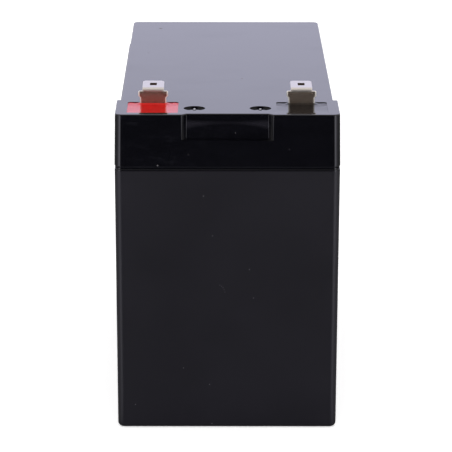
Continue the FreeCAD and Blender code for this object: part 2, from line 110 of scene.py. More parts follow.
class LidSizes(bpy.types.PropertyGroup):
    wall: length("Wall", "Thickness of the top and the sides", 2.4)
    lean: length("Lean", "How far each side leans in from the seam to the top", 0.21)
    corner: length("Corner radius", "Radius of the upright corners", 2.0)
    deck: length("Deck height", "Height of the deck above the ledge", 7.5)
    ledge: length("Ledge", "Width of the ledge round the deck", 1.34)
    step: length("Block length", "Distance from the front to the back of the corner blocks", 20.8)
    block: length("Block edge", "Distance from the middle plane to the corner blocks", 13.29)
    edge: length("Edge radius", "Radius of the rim of the top", 0.3)
    crisp: length("Crisp edge", "Radius of the edges of the ledge and the pockets", 0.13)
    slant_edge: length("Slant edge", "Radius where the slanted end of a block meets its front", 0.24)
    slant_foot: length("Slant foot", "Radius where the slanted end meets the recess", 0.1)
    pocket: length("Pocket corner", "Radius of the upright corners of the terminal pockets", 0.8)
    floor: length("Pocket floor", "Thickness of the floor and walls of the terminal pockets", 1.7)
    tongue: length("Tongue root", "How far the tongue reaches up into the lid", 0.3)
    gate_x: length("Gate spacing", "Distance of each gate well from the middle plane", 9.525)
    gate_y: length("Gate setback", "Distance of the gate wells from the front of the top", 8.8)
    gate: length("Gate radius", "Radius of the gate wells", 3.1)
    gate_depth: length("Gate depth", "Depth of the gate wells", 0.55)
    nub: length("Nub radius", "Radius of the stub that the moulding gate left", 0.45)
    nub_height: length("Nub height", "Height of that stub", 0.42)


class TerminalSizes(bpy.types.PropertyGroup):
    sheet: length("Sheet", "Thickness of the tabs", 0.8)
    plate: length("Plate width", "Width of the upright part of a tab", 7.7)
    ears: length("Ear span", "Width over the ears of a tab", 8.7)
    ear_height: length("Ear height", "Height of the ears", 2.03)
    ear_round: length("Ear radius", "Radius of the tops of the ears", 0.45)
    blade: length("Blade width", "Width of the push-on blade", 6.3)
    blade_length: length("Blade length", "Length of the blade from the bend to its tip", 8.1)
    tip: length("Tip chamfer", "Chamfer of the two corners of the tip", 0.8)
    hole_width: length("Hole width", "Width of the locking hole", 2.0)
    hole_length: length("Hole length", "Length of the locking hole", 2.8)
    hole_place: length("Hole setback", "Distance from the bend to the middle of the hole", 3.7)
    hole_corner: length("Hole corner", "Radius of the corners of the hole", 0.15)
    bend: length("Bend radius", "Inner radius of the bend", 0.15)
    stem: length("Stem width", "Width of the stem that goes down through the lid", 5.0)
    tilt: bpy.props.FloatProperty(name="Blade tilt", description="How far the blade rises from level",
                                  default=math.radians(2.5), subtype="ANGLE")
    burr: length("Edge roll", "Radius that stamping leaves on the edges", 0.28)
    fill: length("Resin depth", "Distance from the top of the lid down to the resin", 0.5)
    rise: length("Resin rise", "How far the resin is drawn up the tab", 0.5)


class Finishes(bpy.types.PropertyGroup):
    case: colour("Case plastic", "Colour of the satin case", "#14121a")
    lid: colour("Lid plastic", "Colour of the polished lid", "#09090e")
    red: colour("Red resin", "Colour of the resin at the positive tab", "#d60609")
    black: colour("Black resin", "Colour of the resin at the negative tab", "#0a0a0c")
    tin: colour("Tin", "Colour of the tinned tabs", "#dcd6d0")
    # This colour is partly a heat stain and partly painted shade and a painted warm reflection on the
    # front of the upright part
    stain_and_shade: colour("Stain", "Colour of the browned upright part of the tabs", "#a59180")
    sleeve: colour("Cell sleeve", "Colour of the shrunk sleeves of the cells", "#1f5fa8")


# Modelling

def deselect():
    """Nothing selected, so that an operator acts only on what is picked next."""
    bpy.ops.object.select_all(action="DESELECT")


def choose(piece):
    """The one piece that the next operators act on."""
    deselect()
    piece.select_set(True)
    bpy.context.view_layer.objects.active = piece


def settle(name):
    """Names the chosen object and moves its place, turn and size into its mesh."""
    piece = bpy.context.object
    bpy.ops.object.transform_apply(location=True, rotation=True, scale=True)
    piece.name = name
    piece.data.name = name
    return piece


class Shaping:
    """Edit mode on one piece, for as long as the with block lasts."""

    KINDS = {"VERT": ("verts", lambda v: (v.co,)),
             "EDGE": ("edges", lambda e: (e.verts[0].co, e.verts[1].co)),
             "FACE": ("faces", lambda f: (f.calc_center_median(), f.normal))}

    def __init__(self, piece):
        self.piece = piece

    def __enter__(self):
        choose(self.piece)
        bpy.ops.object.mode_set(mode="EDIT")
        return self

    def __exit__(self, *problem):
        bpy.ops.object.mode_set(mode="OBJECT")

    def pick(self, kind, test):
        """Selects the points, edges or faces that pass a test.

        The test gets a point's place, an edge's two ends, or a face's middle and normal."""
        bpy.ops.mesh.select_mode(type=kind)
        bpy.ops.mesh.select_all(action="DESELECT")
        mesh = bmesh.from_edit_mesh(self.piece.data)
        items, facts = self.KINDS[kind]
        found = [item for item in getattr(mesh, items) if test(*facts(item))]
        for item in found:
            item.select_set(True)
        mesh.select_flush_mode()
        bmesh.update_edit_mesh(self.piece.data)
        if not found:
            raise RuntimeError(f"nothing to pick on {self.piece.name}")

    def round(self, radius, segments, test):
        """Rounds the edges that pass a test."""
        self.pick("EDGE", test)
        bpy.ops.mesh.bevel(offset=radius, segments=segments, profile=0.5, affect="EDGES",
                           clamp_overlap=False)

    def everything(self):
        """Selects the whole mesh."""
        bpy.ops.mesh.select_mode(type="FACE")
        bpy.ops.mesh.select_all(action="SELECT")


def upright(a, b):
    """Whether an edge stands up."""
    return abs(a.z - b.z) > 5 * (abs(a.x - b.x) + abs(a.y - b.y))


def both(test):
    """The test of an edge whose two ends each pass a test of points."""
    return lambda a, b: test(a) and test(b)


def facing_up(centre, normal):
    """Whether a face looks up."""
    return normal.z > 0.9


def facing_down(centre, normal):
    """Whether a face looks down."""
    return normal.z < -0.9


def scale_about(centre, x=1, y=1):
    """Scales the selection in plan about a point."""
    bpy.ops.transform.resize(value=(x, y, 1), center_override=centre)


def lean_in(half, inset, height):
    """Moves the selected outline of a form of the given half sizes in by a distance."""
    scale_about((0, 0, height), 1 - inset / half[0], 1 - inset / half[1])


def extrude(vector):
    """Extrudes the selection along a vector."""
    bpy.ops.mesh.extrude_region_move(TRANSFORM_OT_translate={"value": vector})


def shrink(half, inset):
    """Half sizes in plan, less a distance."""
    return Vector((half[0] - inset, half[1] - inset))


def add_block(name, corner, other, radius=0, segments=8):
    """A block between two opposite corners, its upright edges rounded if a radius is given."""
    deselect()
    low, high = (Vector(map(end, corner, other)) for end in (min, max))
    bpy.ops.mesh.primitive_cube_add(size=1, location=(low + high) / 2, scale=high - low)
    piece = settle(name)
    if radius:
        with Shaping(piece) as edit:
            edit.round(radius, segments, upright)
    return piece


def centred(name, half, low, high, radius=0, segments=8):
    """A block about the upright axis, between two heights."""
    return add_block(name, (-half[0], -half[1], low), (half[0], half[1], high), radius, segments)


def add_disc(name, vertices, radius, depth, place=(0, 0, 0)):
    """An upright round disc."""
    deselect()
    bpy.ops.mesh.primitive_cylinder_add(vertices=vertices, radius=radius, depth=depth, location=place)
    return settle(name)


def modify(piece, kind, **settings):
    """Adds a modifier with its settings and applies it."""
    choose(piece)
    modifier = piece.modifiers.new(kind.lower(), kind)
    for key, value in settings.items():
        setattr(modifier, key, value)
    bpy.ops.object.modifier_apply(modifier=modifier.name)


def combine(piece, other, operation):
    """Joins another piece on, cuts it out or keeps what both share. The other piece goes."""
    modify(piece, "BOOLEAN", operation=operation, solver="EXACT", object=other)
    bpy.data.objects.remove(other)


def cut_both_sides(piece, cutter):
    """Cuts a form and its mirror image out of a piece."""
    combine(piece, mirrored_copy(cutter, cutter.name + "_left"), "DIFFERENCE")
    combine(piece, cutter, "DIFFERENCE")


def mirrored_copy(piece, name):
    """A copy on the other side of the middle plane, with its own mesh and its faces outwards."""
    choose(piece)
    bpy.ops.object.duplicate()
    copy = settle(name)
    with Shaping(copy) as edit:
        edit.everything()
        scale_about((0, 0, 0), x=-1)
        bpy.ops.mesh.normals_make_consistent(inside=False)
    return copy


def tidy_mesh(piece):
    """Merges what booleans leave double and turns the faces outwards."""
    with Shaping(piece) as edit:
        edit.everything()
        bpy.ops.mesh.remove_doubles(threshold=MERGE)
        bpy.ops.mesh.normals_make_consistent(inside=False)


def smooth(piece, degrees=32):
    """Smooth shading that keeps flat faces flat beside their rounded edges."""
    choose(piece)
    bpy.ops.object.shade_smooth_by_angle(angle=math.radians(degrees))
    modify(piece, "WEIGHTED_NORMAL", keep_sharp=True, weight=100)


def hand_over(piece, solid, material):
    """Gives a finished piece its material and its place in the object."""
    piece.data.materials.clear()
    piece.data.materials.append(material)
    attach(piece, "root")
    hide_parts(solid)


def rim_ring(name, sizes, half_width, low, high):
    """A ring that runs round the middle of the rim of the case, between two heights."""
    middle = shrink(CASE_HIGH, sizes.wall / 2)
    radius = sizes.corner - sizes.wall / 2
    ring = centred(name, shrink(middle, -half_width), low, high, radius + half_width, 5)
    core = centred(name + "_core", shrink(middle, half_width), low - MM, high + MM,
                   radius - half_width, 3)
    combine(ring, core, "DIFFERENCE")
    return ring


# Materials

class Look:
    """The nodes of a material or of the world."""

    def __init__(self, owner):
        owner.use_nodes = True
        self.owner = owner
        self.tree = owner.node_tree
        self.tree.nodes.clear()
        self.coords = self.add("TexCoord")

    def add(self, kind, values=None, **settings):
        """Adds a node and gives its outputs. An input takes a constant or another node's output."""
        made = self.tree.nodes.new("ShaderNode" + kind)
        for key, value in settings.items():
            setattr(made, key, value)
        for key, value in (values or {}).items():
            if isinstance(value, bpy.types.NodeSocket):
                self.tree.links.new(value, made.inputs[key])
            else:
                made.inputs[key].default_value = value
        return made.outputs

    def shade(self, values):
        """Ends a material in its shader."""
        self.add("OutputMaterial", {"Surface": self.add("BsdfPrincipled", values)[0]})
        return self.owner

    def parts(self, kind="Object"):
        """The x, y and z of a coordinate."""
        return self.add("SeparateXYZ", {0: self.coords[kind]})

    def maths(self, operation, *values, **settings):
        """The result of a calculation with numbers and outputs."""
        return self.add("Math", dict(enumerate(values)), operation=operation, **settings)[0]

    def times(self, first, second, **settings):
        """A product."""
        return self.maths("MULTIPLY", first, second, **settings)

    def noise(self, millimetres, detail=2.0, stretch=(1, 1, 1)):
        """A noise whose lumps have about the given size, drawn out along the axes by stretch."""
        scale = tuple(1 / s for s in stretch)
        where = self.add("Mapping", {"Vector": self.coords["Object"], "Scale": scale})[0]
        return self.add("TexNoise", {"Vector": where, "Scale": 1 / (millimetres * MM),
                                     "Detail": detail})[0]

    def spread(self, value, low, high, start=0.0, end=1.0):
        """Takes the part of a value between low and high to the range from start to end."""
        return self.add("MapRange", {"Value": value, "From Min": low, "From Max": high,
                                     "To Min": start, "To Max": end})[0]

    def blend(self, amount, first, second):
        """Mixes two colours."""
        return self.add("Mix", {0: amount, 6: first, 7: second}, data_type="RGBA")[2]

    def specks(self, millimetres, size, share):
        """A mask of small round specks: their spacing, their radius as a part of it, how many show."""
        cells = self.add("TexVoronoi", {"Vector": self.coords["Object"],
                                        "Scale": 1 / (millimetres * MM)})
        lot = self.add("SeparateColor", {0: cells["Color"]})[0]
        return self.times(self.spread(cells["Distance"], size, size * 0.5),
                          self.maths("LESS_THAN", lot, share))

    def spots(self, marks):
        """A mask of single round marks, each given by its place and radius in millimetres."""
        mask = 0
        for *place, radius in marks:
            centre = tuple(c * MM for c in place)
            away = self.add("VectorMath", {0: self.coords["Object"], 1: centre},
                            operation="DISTANCE")["Value"]
            mask = self.maths("MAXIMUM", mask, self.spread(away, radius * MM, radius * MM / 2))
        return mask

    def bumps(self, height, millimetres, below=None):
        """A bump of the given real height, on top of another if one is given."""
        values = {"Strength": 1, "Distance": millimetres * MM, "Height": height}
        if below is not None:
            values["Normal"] = below
        return self.add("Bump", values)[0]

    def seen_plainly(self):
        """1 for what the camera sees straight, mirrored or through glass, 0 for scattered light."""
        path = self.add("LightPath")
        seen = self.maths("MAXIMUM", path["Is Camera Ray"], path["Is Glossy Ray"])
        return self.maths("MAXIMUM", seen, path["Is Transmission Ray"])


def new_look(name):
    """The nodes of a new material."""
    return Look(bpy.data.materials.new(name))


# Single grains of dust and a hair on the lid and the case: x, y, z, radius in millimetres
LID_DUST = ((-20.06, -75.5, 79.11, 0.24), (17.77, -75.43, 83.85, 0.15), (7.4, -73.9, 90.2, 0.08),
            (-11.2, -75.45, 82.3, 0.12), (-31.1, -75.45, 81.5, 0.14), (2.3, -74, 88.4, 0.15),
            (-6.4, -74.4, 86.6, 0.14), (-5.5, -74.6, 86.6, 0.12), (-3.3, -74.3, 86.6, 0.13),
            (0.5, -74.5, 86.6, 0.12), (3, -74.4, 86.6, 0.14),
            (-21.7, 61.3, 94, 0.7), (-24.7, 18.5, 94, 0.35), (4.6, -22.9, 94, 0.35))
CASE_DUST = ((-6.87, -75.4, 70.07, 0.2), (6.45, -75.28, 48.16, 0.17), (7.65, -75.23, 39.58, 0.17),
             (-12.73, -75.1, 18.3, 0.17), (-26.83, -75.04, 7.09, 0.17), (-5.12, -75.08, 13.25, 0.17),
             (-2.12, -75.24, 43.44, 0.11), (-1.62, -75.24, 43.14, 0.11), (-1.22, -75.24, 42.69, 0.11),
             (-0.90, -75.24, 42.06, 0.11), (-0.66, -75.24, 41.36, 0.11))
# The stubs that the moulding gates left as they tore off, their tips painted pale as a painted
# highlight
GATE_STUB_HIGHLIGHTS = ((-9.525, -66.6, 93.9, 0.42), (9.525, -66.6, 93.9, 0.42))


def polished_abs(looks):
    """ABS from a polished mould: near black and mirror smooth, with faint waves, smears and dust."""
    look = new_look("polished_black_abs")
    base = (*looks.lid, 1)
    smear = look.noise(7, 4, (2.5, 1, 0.7))
    tone = look.blend(look.spread(smear, 0.35, 0.7), brighter(base, 0.85), brighter(base, 1.1))
    # Finger grease dried to faint grey streaks, mostly on the left, where hands took hold
    grease = look.times(look.spread(look.noise(1.8, 5, (1.6, 1, 0.7)), 0.5, 0.75),
                        look.spread(smear, 0.42, 0.62))
    grease = look.times(grease, look.spread(look.parts()[0], 5 * MM, -20 * MM, 0.2, 0.8))
    tone = look.blend(grease, tone, linear("#17171c"))
    # A faint grey band across the recess is painted in as a painted reflection
    tone = look.blend(painted_reflection_band(look), tone, linear("#1f1e24"))
    dust = look.maths("MAXIMUM", look.spots(LID_DUST), look.specks(2.6, 0.045, 0.08))
    tone = look.blend(dust, tone, linear("#6d6a6c"))
    waves = look.bumps(look.noise(14, 1), 0.012)
    hairs = look.spread(look.noise(0.22, 1, (1, 40, 1)), 0.66, 0.75)
    return look.shade({
        # The tips of the gate stubs are painted pale: a painted highlight
        "Base Color": look.blend(look.spots(GATE_STUB_HIGHLIGHTS), tone, linear("#dedce2")),
        "Roughness": look.maths("ADD", look.spread(smear, 0.3, 0.75, 0.05, 0.085),
                                look.times(dust, 0.8)),
        # A thin film of dirt takes a little of the shine away in wide patches
        "Specular IOR Level": look.spread(look.noise(15, 4, (1.4, 1, 1)), 0.5, 0.75, 0.5, 0.4),
        "Normal": look.bumps(hairs, 0.0006, waves),
        "IOR": 1.54})


def painted_reflection_band(look):
    """A mask of the faint grey band across the recess, which is a painted reflection."""
    x, y, z = look.parts()
    aside = look.maths("DIVIDE", x, 13 * MM)
    bow = look.times(aside, aside)
    over = look.maths("SUBTRACT", look.spread(bow, 0, 1, 91.9 * MM, 92.6 * MM), z)
    under = look.maths("SUBTRACT", z, look.spread(bow, 0, 1, 90.8 * MM, 88.9 * MM))
    band = look.times(look.spread(over, 0, MM), look.spread(under, 0, MM))
    in_recess = look.times(look.maths("LESS_THAN", bow, 0.84), look.maths("LESS_THAN", y, -73 * MM))
    return look.times(band, in_recess)


def satin_abs(looks):
    """ABS from a spark-eroded mould: the same black, whose fine grain gives it a dark satin."""
    look = new_look("satin_black_abs")
    base = (*looks.case, 1)
    dust = look.maths("MAXIMUM", look.spots(CASE_DUST), look.specks(4.5, 0.04, 0.06))
    cloud = look.noise(22, 3)
    tone = look.blend(look.spread(cloud, 0.3, 0.7), brighter(base, 0.9), brighter(base, 1.15))
    # The texture stops short of the rim, which is polished so that it leaves the mould. The rim also
    # takes the darker lid colour, which partly stands for painted shade in the seam groove
    rim = look.spread(look.parts()[2], CASE_HIGH.z - 1.15 * MM, CASE_HIGH.z - 0.7 * MM)
    tone = look.blend(rim, tone, (*looks.lid, 1))
    # The real grain is about 0.05 mm; it is drawn at 0.3 mm so that a close view shows it
    grain = look.bumps(look.noise(0.3, 2), 0.004)
    return look.shade({
        "Base Color": look.blend(dust, tone, linear("#77757a")),
        "Roughness": look.times(look.spread(cloud, 0.3, 0.75, 0.38, 0.42),
                                look.spread(rim, 0, 1, 1, 0.17)),
        "Normal": look.bumps(look.noise(30, 1), 0.05, grain),
        "IOR": 1.54})


def poured_resin(slot, tint):
    """Two-part resin that levelled itself and set: deep colour, smooth skin, a few tiny bubbles."""
    look = new_look(slot + "_poured")
    base = (*tint, 1)
    cloud = look.noise(3, 2)
    bubbles = look.specks(1.6, 0.07, 0.12)
    tone = look.blend(look.spread(cloud, 0.3, 0.7), brighter(base, 0.9), brighter(base, 1.06))
    return look.shade({
        "Base Color": look.blend(bubbles, tone, brighter(base, 0.6)),
        "Roughness": 0.06,
        "Normal": look.bumps(bubbles, 0.02, look.bumps(cloud, 0.006)),
        "IOR": 1.55})


def tinned_brass(looks):
    """Rolled brass, stamped and then tinned: white metal with rolling lines, browned and dull below,
    where the brown also carries painted shade and a painted warm reflection, and the side edges a
    painted highlight.
    """
    look = new_look("tinned_brass")
    tin = (*looks.tin, 1)
    stain_and_shade = (*looks.stain_and_shade, 1)
    patches = look.noise(0.45, 5)
    lines = look.noise(0.06, 2, (30, 1, 1))
    height = look.parts()[2]
    across, ahead, _ = look.parts("Normal")
    # The front of the upright part is painted brown: partly the stain that the heat of the soldering
    # bath left, partly painted shade under the blade and a painted warm reflection
    bend = TAB_HIGH.z - 1.35 * MM
    low = look.spread(height, bend, bend - 0.35 * MM)
    browned_and_shaded = look.times(low, look.spread(ahead, -0.8, -0.97))
    ragged = look.times(browned_and_shaded, look.spread(patches, 0.35, 0.7, 0.75, 1.2), use_clamp=True)
    mottled = look.blend(look.spread(patches, 0.3, 0.7), stain_and_shade, brighter(stain_and_shade, 0.75))
    # The tin lies thicker and duller on the rolled side edges, which are also painted near white and
    # less metallic as a painted highlight
    edge = look.times(look.spread(look.maths("ABSOLUTE", across), 0.02, 0.12), low)
    tin_stain_shade_and_highlight = look.blend(edge, look.blend(ragged, tin, mottled), linear("#f3eee6"))
    dull = look.maths("MAXIMUM", ragged, edge)
    # Bending crazed the tin, which scatters the light there
    crazed = look.times(look.spread(height, bend - 0.2 * MM, bend + 0.1 * MM),
                        look.spread(ahead, -0.05, -0.3))
    return look.shade({
        "Base Color": look.blend(look.spread(lines, 0.35, 0.7, 0, 0.15), tin_stain_shade_and_highlight, brighter(tin, 0.6)),
        "Roughness": look.maths("ADD", look.spread(dull, 0, 1, 0.3, 0.24), look.times(crazed, 0.22)),
        "Metallic": look.times(look.spread(ragged, 0, 1, 1, 0.77), look.spread(edge, 0, 1, 1, 0.15)),
        "Normal": look.bumps(lines, 0.0015, look.bumps(patches, 0.008))})


def sheared_brass():
    """The cut face of the punched hole: bare yellow brass, torn and dull."""
    look = new_look("sheared_brass")
    tear = look.noise(0.12, 3, (1, 1, 4))
    return look.shade({
        "Base Color": look.blend(look.spread(tear, 0.35, 0.65), linear("#6b5236"), linear("#8c7048")),
        "Roughness": 0.45,
        "Metallic": 1,
        "Normal": look.bumps(tear, 0.01)})


def cell_sleeve(looks):
    """Shrunk PVC sleeve: glossy blue film with faint shrink ripples round the can."""
    look = new_look("shrunk_pvc_sleeve")
    base = (*looks.sleeve, 1)
    ripples = look.noise(1.2, 2, (6, 6, 1))
    return look.shade({
        "Base Color": look.blend(look.spread(ripples, 0.3, 0.7), brighter(base, 0.88),
                                 brighter(base, 1.1)),
        "Roughness": look.spread(ripples, 0.3, 0.7, 0.22, 0.3),
        "Normal": look.bumps(ripples, 0.02),
        "IOR": 1.53})


# Finishes of what the closed case hides: light tone, dark tone, grain in mm, roughness, height in mm
INNER_FINISHES = {
    # Moulded ABS brackets look dull black with the mould's fine texture
    "bracket_abs": ("#1c1c1e", "#131315", 0.4, 0.5, 0.01),
    # Nickel strip is bright and shows its rolling direction
    "strip_nickel": ("#cfcac0", "#a8a299", 0.15, 0.28, 0.003),
    # Pressed fibre board is matt and flecked
    "fibre_board": ("#b9bda0", "#97a184", 0.35, 0.8, 0.02),
    # Foam tape is white, matt and full of small cells
    "foam_tape": ("#eceae4", "#cfccc4", 0.25, 0.9, 0.05),
    # Solder resist on glass laminate is a glossy green with the weave just showing
    "board_laminate": ("#14713a", "#0d5a2c", 0.5, 0.25, 0.008),
    # Moulded epoxy of chips is fine-grained dark grey
    "chip_epoxy": ("#2c2c2e", "#1f1f21", 0.12, 0.55, 0.006),
    # Plated metal of flat resistors is brushed grey
    "shunt_metal": ("#b4b2ae", "#8f8d89", 0.15, 0.32, 0.003),
    # Natural nylon is milky and slightly waxy
    "socket_nylon": ("#e9e4d2", "#d6d0bc", 0.6, 0.42, 0.006),
    # Silicone sleeves are soft-looking with a dull sheen
    "lead_red": ("#b81414", "#9a0f10", 0.3, 0.45, 0.008),
    "lead_black": ("#19191b", "#101012", 0.3, 0.45, 0.008),
    "lead_white": ("#e6e4e0", "#cfccc8", 0.2, 0.45, 0.005),
    # Closed-cell foam is matt with fine pores
    "foam_eva": ("#2b2b2e", "#1a1a1c", 0.3, 0.9, 0.05),
}
METALS = ("strip_nickel", "shunt_metal")


def plain_finish(slot, light, dark, grain, roughness, height):
    """A finish of two close tones in lumps of a real size, which also move gloss and surface."""
    look = new_look(slot + "_finish")
    lumps = look.noise(grain, 3)
    clouds = look.spread(look.noise(grain * 12, 2), 0.45, 0.75, 0, 0.4)
    tone = look.blend(look.spread(lumps, 0.3, 0.7), linear(dark), linear(light))
    return look.shade({
        "Base Color": look.blend(clouds, tone, brighter(linear(dark), 0.8)),
        "Roughness": look.spread(lumps, 0.3, 0.7, roughness * 0.9, roughness * 1.1),
        "Metallic": float(slot in METALS),
        "Normal": look.bumps(lumps, height)})


# Operators

class BATTERY_OT_case(bpy.types.Operator):
    """Models the open case with its flare, rim groove, ribs and gate mark"""
    bl_idname = "battery.case"
    bl_label = "Case"

    def execute(self, context):
        sizes = context.scene.battery_case
        high = CASE_HIGH.z
        shoulder = high - sizes.lip
        base = shrink(CASE_HIGH, sizes.flare)
        case = centred("case_shell", base, 0, shoulder)
        with Shaping(case) as edit:
            edit.pick("FACE", facing_up)
            lean_in(base, -sizes.flare, shoulder)
            edit.round(sizes.corner, 8, upright)
            edit.round(sizes.foot, 6, both(lambda p: p.z < NEAR))
            edit.round(sizes.shoulder, 3, both(lambda p: p.z > shoulder - NEAR))
            edit.pick("FACE", lambda c, n: facing_up(c, n) and c.z > shoulder - NEAR)
            bpy.ops.mesh.inset(thickness=sizes.notch - sizes.shoulder)
            extrude((0, 0, sizes.lip))
        combine(case, self.inside(sizes), "DIFFERENCE")
        groove = rim_ring("groove", sizes, sizes.groove / 2, high - sizes.groove_depth, high + MM)
        combine(case, groove, "DIFFERENCE")
        root = sizes.wall / 2
        for place in (-sizes.rib_pitch, 0, sizes.rib_pitch):
            for side in (-1, 1):
                rib = add_block("rib", (side * sizes.rib_gap, place - sizes.rib / 2, root),
                                (side * (base.x - root), place + sizes.rib / 2, sizes.rib_top))
                combine(case, rib, "UNION")
        combine(case, add_disc("gate_mark", 64, sizes.gate, 2 * sizes.gate_depth), "DIFFERENCE")
        tidy_mesh(case)
        smooth(case)
        hand_over(case, "case", satin_abs(context.scene.battery_looks))
        return {"FINISHED"}

    @staticmethod
    def inside(sizes):
        """The space inside the case, whose sides follow the flare of the walls."""
        half = shrink(CASE_HIGH, sizes.wall)
        form = centred("inside", half, sizes.wall, CASE_HIGH.z + MM)
        with Shaping(form) as edit:
            edit.pick("FACE", facing_down)
            lean_in(half, sizes.flare, sizes.wall)
            edit.round(sizes.inner, 3, upright)
        return form


class BATTERY_OT_lid(bpy.types.Operator):
    """Models the stepped lid with its pockets, gate wells, hollow underside and tongue"""
    bl_idname = "battery.lid"
    bl_label = "Lid"

    def execute(self, context):
        self.sizes = context.scene.battery_lid
        case = context.scene.battery_case
        self.seam = CASE_HIGH.z
        self.top = LID_HIGH.z
        self.ledge_z = self.top - self.sizes.deck
        self.half = shrink(LID_HIGH, 0)
        lid = self.outer_form(case)
        combine(lid, self.kept_form(), "INTERSECT")
        self.round_rims(lid)
        self.cut_pockets(lid, context.scene.battery_terminals)
        self.cut_wells(lid)
        combine(lid, self.hollow(case.inner), "DIFFERENCE")
        tongue = rim_ring("tongue", case, case.groove / 2 - PLAY, LID_LOW.z,
                          self.seam + self.sizes.tongue)
        combine(lid, tongue, "UNION")
        tidy_mesh(lid)
        smooth(lid)
        hand_over(lid, "lid", polished_abs(context.scene.battery_looks))
        return {"FINISHED"}

    def outer_form(self, case):
        """The whole outside without the ledge: leaning sides above the upper half of the groove."""
        body = centred("lid_shell", self.half, self.seam + case.lip, self.top)
        with Shaping(body) as edit:
            edit.pick("FACE", facing_up)
            lean_in(self.half, self.sizes.lean, self.top)
            edit.pick("FACE", facing_down)
            extrude((0, 0, -case.lip))
            lean_in(self.half, case.notch, self.seam)
            edit.round(self.sizes.corner, 8, lambda a, b: abs(a.z - b.z) > case.lip / 2)
        return body

    def kept_form(self):
        """The deck inside the ledge, the two corner blocks and all that is below the ledge."""
        sizes = self.sizes
        over = 2 * MM
        lean = sizes.lean * (self.ledge_z - self.seam) / (self.top - self.seam)
        slope = (sizes.lean - lean) / sizes.deck
        low = self.ledge_z - over
        high = self.top + over
        inner = shrink(self.half, lean + sizes.ledge - slope * over)
        deck = centred("deck", inner, low, high)
        with Shaping(deck) as edit:
            edit.pick("FACE", facing_up)
            lean_in(inner, slope * (high - low), high)
            edit.round(sizes.corner, 8, upright)
        front = -self.half.y
        beyond = 2 * sizes.ledge
        start = sizes.block - 5 * sizes.ledge
        slant = sizes.block - start + beyond + NEAR
        for side in (-1, 1):
            block = add_block("corner_block", (side * start, front - beyond, low),
                              (side * (self.half.x + beyond), front + sizes.step, high))
            with Shaping(block) as edit:
                edit.round(slant, 1, lambda a, b: upright(a, b) and abs(a.x - side * start) < MM
                           and a.y < front)
            combine(deck, block, "UNION")
        combine(deck, centred("skirt", 2 * self.half, 0, self.ledge_z), "UNION")
        return deck

    def round_rims(self, lid):
        """Rounds the upright edges of the corner blocks, the rim of the top and of the ledge."""
        sizes = self.sizes
        front = -self.half.y
        slanted = sizes.block - sizes.ledge / 2

        def on_deck(a, b):
            return upright(a, b) and abs(a.z - b.z) > sizes.deck / 2

        with Shaping(lid) as edit:
            edit.everything()
            bpy.ops.mesh.remove_doubles(threshold=MERGE)
            for radius, near, far in ((sizes.slant_edge, slanted, sizes.block + sizes.ledge),
                                      (sizes.slant_foot, 0, slanted)):
                edit.round(radius, 4, lambda a, b: on_deck(a, b) and near < abs(a.x) < far
                           and min(a.z, b.z) > self.ledge_z - 10 * NEAR
                           and a.y < front + 2 * sizes.ledge)
            edit.round(sizes.edge, 4, lambda a, b: on_deck(a, b)
                       and abs(a.y - front - sizes.step) < 30 * NEAR)
            edit.round(sizes.edge, 4, both(lambda p: p.z > self.top - NEAR))
            edit.round(sizes.crisp, 2, both(self.on_ledge_rim))

    def on_ledge_rim(self, point):
        """Whether a point lies on the outer edge of the ledge."""
        corner = self.sizes.corner
        past = Vector((abs(point.x), abs(point.y))) - shrink(self.half, corner)
        on_outline = Vector((max(0, past.x), max(0, past.y))).length > corner - 20 * NEAR
        return on_outline and abs(point.z - self.ledge_z) < NEAR

    def pocket(self, name, grow, low, high):
        """The plan of the right terminal pocket, grown all round, between two heights."""
        return add_block(name, (RESIN_LOW.x - grow, RESIN_LOW.y - grow, low),
                         (RESIN_HIGH.x + grow, RESIN_HIGH.y + grow, high), self.sizes.pocket + grow, 5)

    def cut_pockets(self, lid, terminals):
        """Sinks the two terminal pockets, with the slots that the stems of the tabs go down through."""
        aside = terminals.stem / 2 + PLAY
        middle = (RESIN_LOW.x + RESIN_HIGH.x) / 2
        cutter = self.pocket("pocket", 0, RESIN_LOW.z, self.top + MM)
        slot = add_block("slot", (middle - aside, TAB_LOW.y - PLAY, RESIN_LOW.z - 3 * MM),
                         (middle + aside, TAB_LOW.y + terminals.sheet + PLAY, RESIN_LOW.z + MM))
        combine(cutter, slot, "UNION")
        cut_both_sides(lid, cutter)
        with Shaping(lid) as edit:
            edit.round(self.sizes.crisp, 2, both(
                lambda p: p.z > self.top - NEAR
                and RESIN_LOW.x - NEAR < abs(p.x) < RESIN_HIGH.x + NEAR
                and RESIN_LOW.y - NEAR < p.y < RESIN_HIGH.y + NEAR))

    def cut_wells(self, lid):
        """Sinks the round gate wells, each with the stub that the moulding gate left."""
        sizes = self.sizes
        y = sizes.lean - self.half.y + sizes.gate_y
        bottom = self.top - sizes.gate_depth
        for side in (-1, 1):
            well = add_disc("gate_well", 72, sizes.gate, 2 * MM, (side * sizes.gate_x, y, bottom + MM))
            with Shaping(well) as edit:
                edit.pick("FACE", facing_down)
                bpy.ops.mesh.inset(thickness=sizes.gate - sizes.nub)
                bpy.ops.mesh.inset(thickness=sizes.nub * 0.3, depth=-sizes.nub_height)
            combine(lid, well, "DIFFERENCE")

    def hollow(self, radius):
        """The space under the lid, which leaves the boxes round the two pockets."""
        sizes = self.sizes
        low = self.seam - 5 * MM
        space = centred("hollow", shrink(self.half, sizes.wall), low,
                        self.ledge_z - sizes.wall, radius, 3)
        upper = centred("hollow_deck", shrink(self.half, sizes.wall + sizes.ledge), low,
                        self.top - sizes.wall, radius, 3)
        combine(space, upper, "UNION")
        cut_both_sides(space, self.pocket("box", sizes.floor, RESIN_LOW.z - sizes.floor, self.top))
        return space


